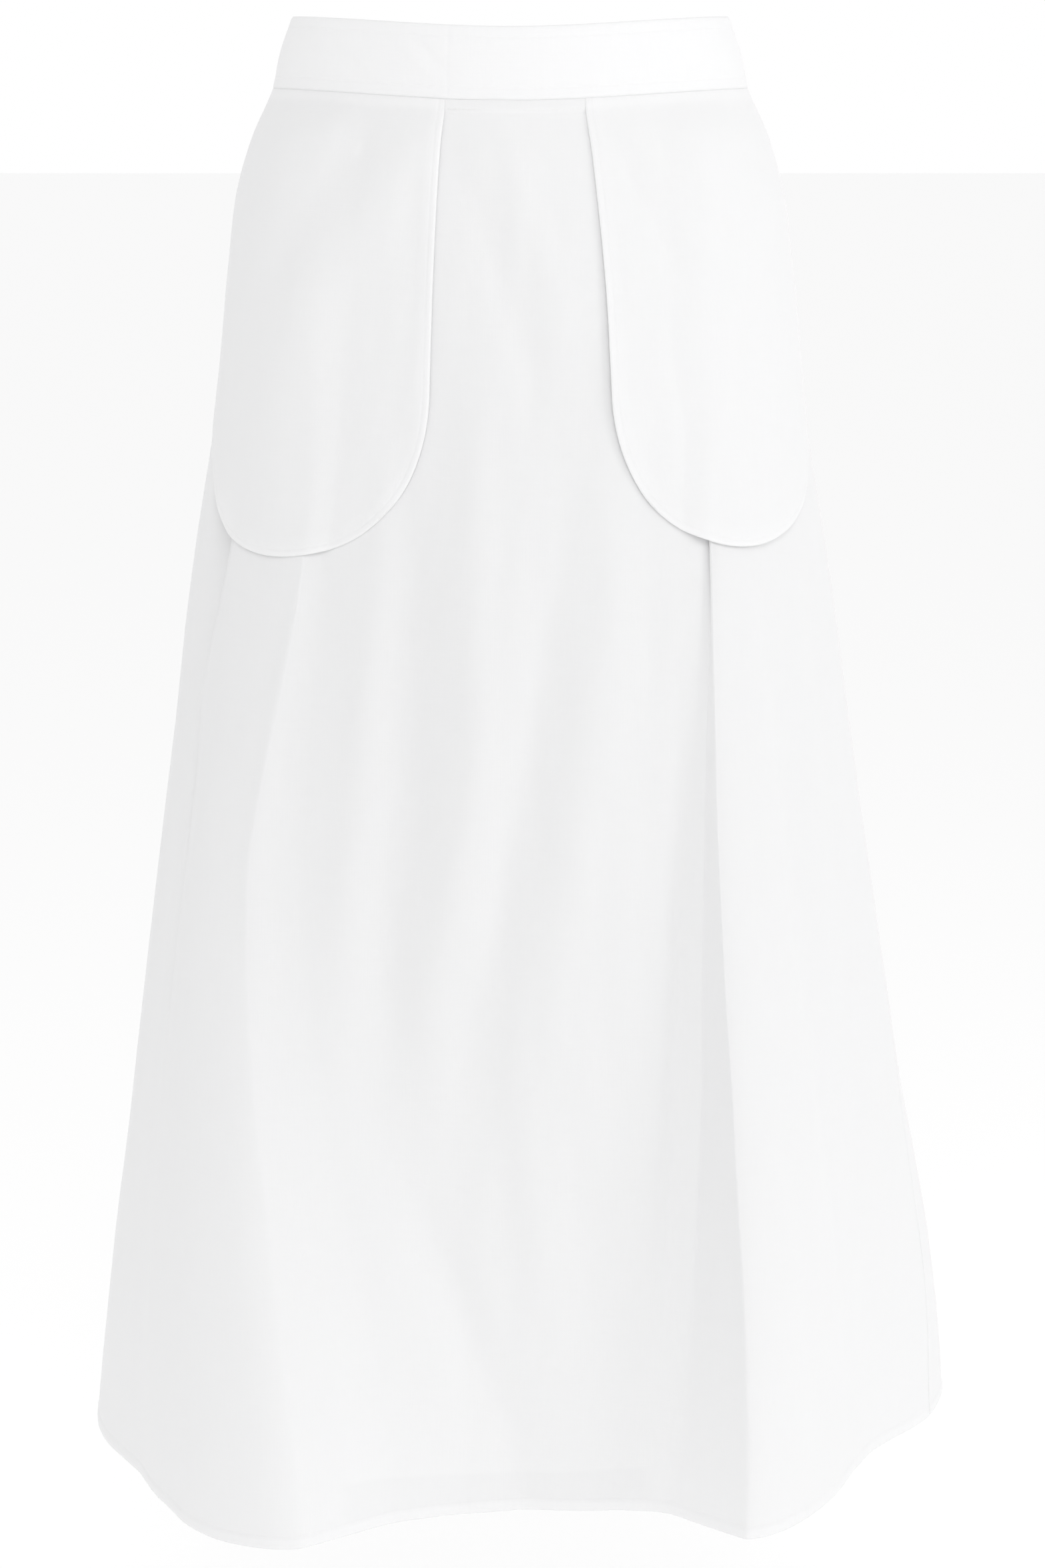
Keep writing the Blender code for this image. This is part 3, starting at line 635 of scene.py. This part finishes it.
# Sewing: rows of lockstitch in white thread, ten stitches to 26 mm, sunk a little in the cloth.
# They run along the band's edges, round the flaps, round the hem and under the band in front.
STITCH_PITCH, STITCH_LONG, STITCH_WIDE, STITCH_HIGH = 0.0026, 0.0021, 0.00036, 0.00022

thread = Finish("white thread", Roughness=0.55, Base_Color=(0.87, 0.87, 0.87, 1.0), Specular_IOR_Level=0.35)


def face_of(points, lower):
    """directions out of the cloth along a line of points, from a line a little lower"""
    out = np.cross(lower - points, np.gradient(points, axis=0))
    return out / np.linalg.norm(out, axis=1)[:, None]


def stitched(name, points, out, stand):
    """a row of stitches along a line of points, standing out of the cloth's middle"""
    points = points + out * stand
    marks = np.concatenate([[0.0], np.cumsum(np.linalg.norm(np.diff(points, axis=0), axis=1))])
    count = int(marks[-1] / STITCH_PITCH)

    def at(values, place):
        return Vector([np.interp(place, marks, values[:, axis]) for axis in range(3)])

    row = bmesh.new()
    for place in (np.arange(count) + 0.5) * marks[-1] / count:
        ahead = (at(points, place + 0.001) - at(points, place - 0.001)).normalized()
        normal = at(out, place)
        aside = normal.cross(ahead).normalized()
        normal = ahead.cross(aside)
        turn = Matrix((ahead, aside, normal)).transposed().to_4x4()
        size = Matrix.Diagonal((STITCH_LONG / 2, STITCH_WIDE / 2, STITCH_HIGH / 2, 1.0))
        shape = Matrix.Translation(at(points, place)) @ turn @ size
        bmesh.ops.create_uvsphere(row, u_segments=6, v_segments=4, radius=1.0, matrix=shape)
    mesh = bpy.data.meshes.new(name)
    row.to_mesh(mesh)
    row.free()
    mesh.shade_smooth()
    piece = bpy.data.objects.new(name, mesh)
    bpy.context.collection.objects.link(piece)
    thread.put_on(piece)
    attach(piece, "skirt")


for name, (start, end, steps, *_) in BANDS.items():
    for edge_name, height in (("top", BAND_TOP - BAND_STITCH), ("foot", BAND_FOOT + BAND_STITCH)):
        line = band_row(height, start, end, steps)
        out = face_of(line, band_row(height - 0.001, start, end, steps))
        stitched("stitches_band_" + name + "_" + edge_name, line, out, 0.40 * BAND_THICK)

# The flaps' stitch line as a share of their half width, taken as 88 mm.
share = 1.0 - FLAP_STITCH / 0.088
for name in FLAPS:
    sides = np.linspace(0.02, 1.0 + share, 200)
    across = np.linspace(-share, share, 160)
    spread = np.concatenate([np.full(200, -share), across[1:-1], np.full(200, share)])
    down = np.concatenate([sides, np.full(158, 1.0 + share), sides[::-1]])
    line = flap_points(name, spread, down)
    ahead = np.gradient(line, axis=0)
    inner_down = np.minimum(down, 1.0) + np.maximum(down - 1.0, 0.0) * 0.98 + 1e-5
    inward = flap_points(name, spread * 0.98, inner_down) - line
    out = np.cross(ahead, inward)
    out = out / np.linalg.norm(out, axis=1)[:, None]
    out = out * np.where((out * line).sum(axis=1) < 0.0, -1.0, 1.0)[:, None]
    stitched("stitches_flap_" + name, line, out, 0.36 * FLAP_THICK)

hem_line = HEM + HEM_STITCH
line = front_row(hem_line, FRONT_STEPS)
stitched("stitches_hem_front", line, face_of(line, front_row(hem_line - 0.001, FRONT_STEPS)), 0.42 * PLY)
for side, start in (("right", 90.0), ("left", 180.0)):
    line = back_row(hem_line, start)
    stitched("stitches_hem_back_" + side, line, face_of(line, back_row(hem_line - 0.001, start)), 0.42 * PLY)

under_band = SEAM_LINE - 0.0042
between_flaps = np.linspace(-20.0, 22.6, 80)
line = worn(under_band, between_flaps, 0.0012)
out = face_of(line, worn(under_band - 0.001, between_flaps, 0.0012))
stitched("stitches_waist", line, out, 0.0002)


# Zip: a concealed zip behind. Its woven tape is sewn inside the centre back with the nylon coil
# down its middle. The slider and the drop-shaped pull are die-cast and lacquered white.
ZIP_TOP, ZIP_FOOT = 0.015, -0.190
TAPE_WIDTH, TAPE_THICK = 0.024, 0.0006
COIL_TURNS, COIL_PITCH = 136, 0.00145

tape_finish = Finish("zip tape", Roughness=0.75, Base_Color=(0.82, 0.82, 0.82, 1.0), Sheen_Weight=0.1)
place = tape_finish.node("Attribute", {"attribute_name": "cloth"}, output=1)
across, down = (tape_finish.node("SeparateXYZ", None, {0: place}, output=axis) for axis in range(2))
ribs = (across * 5200.0).math("SINE") * 0.5 + ((down + across) * 4200.0).math("SINE") * 0.5
woven = tape_finish.node("Bump", None, {"Strength": 1.0, "Distance": 0.00008, "Height": ribs})
tape_finish.feed("Normal", woven)


def tape_row(height, lift, reach):
    """a row of points across the zip's tape, on the inside of the centre back"""
    back = along(RINGS, height)[2]
    angles = 180.0 + np.degrees(TAPE_WIDTH / back) * reach
    return worn(height, angles, folded(angles, height) - lift)


tape_heights = np.linspace(ZIP_TOP, ZIP_FOOT, 70)
tape_rows = np.array([tape_row(height, 0.0018, np.linspace(-0.5, 0.5, 13)) for height in tape_heights])
tape = cloth_sheet("tape", tape_rows, TAPE_THICK, 1.0, 0.0)
tape_finish.put_on(tape)
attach(tape, "skirt")
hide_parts("zip_tape")

coil_finish = Finish("nylon coil", Roughness=0.4, Base_Color=(0.84, 0.84, 0.84, 1.0))
coil = bmesh.new()
for number in range(COIL_TURNS):
    height = ZIP_TOP - 0.004 - number * COIL_PITCH
    middle = Vector(tape_row(height, 0.0027, np.array([0.0]))[0])
    shape = Matrix.Translation(middle) @ Matrix.Diagonal((0.0021, 0.0008, 0.00048, 1.0))
    bmesh.ops.create_uvsphere(coil, u_segments=8, v_segments=4, radius=1.0, matrix=shape)
coil_mesh = bpy.data.meshes.new("coil")
coil.to_mesh(coil_mesh)
coil.free()
coil_mesh.shade_smooth()
coil_piece = bpy.data.objects.new("coil", coil_mesh)
bpy.context.collection.objects.link(coil_piece)
coil_finish.put_on(coil_piece)
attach(coil_piece, "skirt")

lacquer = Finish("white lacquer", Roughness=0.28, Base_Color=(0.80, 0.80, 0.80, 1.0), Coat_Weight=0.4)
for name in ("zip_slider", "zip_pull"):
    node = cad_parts[name]
    lacquer.put_on(node)
    softened = node.modifiers.new("Softened", "BEVEL")
    softened.width = 0.00018
    softened.segments = 2
    softened.limit_method = "ANGLE"


# Studio: a pale floor well below the hem, a white surround that is brighter behind the skirt, one
# large soft light in front and a weaker one on the right.
FLOOR_HEIGHT = -1.06
floor_mesh = bpy.data.meshes.new("floor")
floor_grid = bmesh.new()
bmesh.ops.create_grid(floor_grid, x_segments=1, y_segments=1, size=60.0)
bmesh.ops.translate(floor_grid, verts=floor_grid.verts[:], vec=(0.0, 0.0, FLOOR_HEIGHT))
floor_grid.to_mesh(floor_mesh)
floor_grid.free()
floor = bpy.data.objects.new("floor", floor_mesh)
bpy.context.collection.objects.link(floor)
Finish("pale floor", Roughness=0.9, Base_Color=(0.95, 0.95, 0.95, 1.0), Specular_IOR_Level=0.1,
       Emission_Color=(1.0, 1.0, 1.0, 1.0), Emission_Strength=0.165).put_on(floor)

surround = bpy.data.worlds.new("surround")
surround.use_nodes = True
sky = surround.node_tree
towards = sky.nodes.new("ShaderNodeTexCoord")
split = sky.nodes.new("ShaderNodeSeparateXYZ")
brighter = sky.nodes.new("ShaderNodeMapRange")
for socket, value in (("From Min", 0.0), ("From Max", 0.7), ("To Min", 0.74), ("To Max", 1.0)):
    brighter.inputs[socket].default_value = value
sky.links.new(towards.outputs["Generated"], split.inputs[0])
sky.links.new(split.outputs["Y"], brighter.inputs["Value"])
sky.links.new(brighter.outputs[0], sky.nodes["Background"].inputs["Strength"])
sky.nodes["Background"].inputs["Color"].default_value = (1.0, 1.0, 1.0, 1.0)
bpy.context.scene.world = surround

# Light: where it stands, how wide it is and its power.
LIGHTS = {"front": ((0.10, -2.30, 1.45), 1.5, 15.0), "side": ((2.5, -0.9, 0.55), 0.9, 9.5)}
for name, (stand, width, power) in LIGHTS.items():
    lamp = bpy.data.lights.new(name, "AREA")
    lamp.shape = "DISK"
    lamp.size = width
    lamp.energy = power
    light = bpy.data.objects.new(name, lamp)
    bpy.context.collection.objects.link(light)
    light.location = stand
    light.rotation_euler = (Vector((0.0, 0.0, -0.30)) - light.location).to_track_quat("-Z", "Y").to_euler()

bpy.context.scene.view_settings.view_transform = "Standard"

lens = bpy.data.cameras.new("camera")
lens.lens = 130.75
lens.sensor_width = 36.0
lens.sensor_fit = "HORIZONTAL"
camera = bpy.data.objects.new("camera", lens)
bpy.context.collection.objects.link(camera)
camera.location = (0.0065, -2.10, -0.023)
camera.rotation_euler = (math.radians(79.9), 0.0, 0.0)
bpy.context.scene.camera = camera
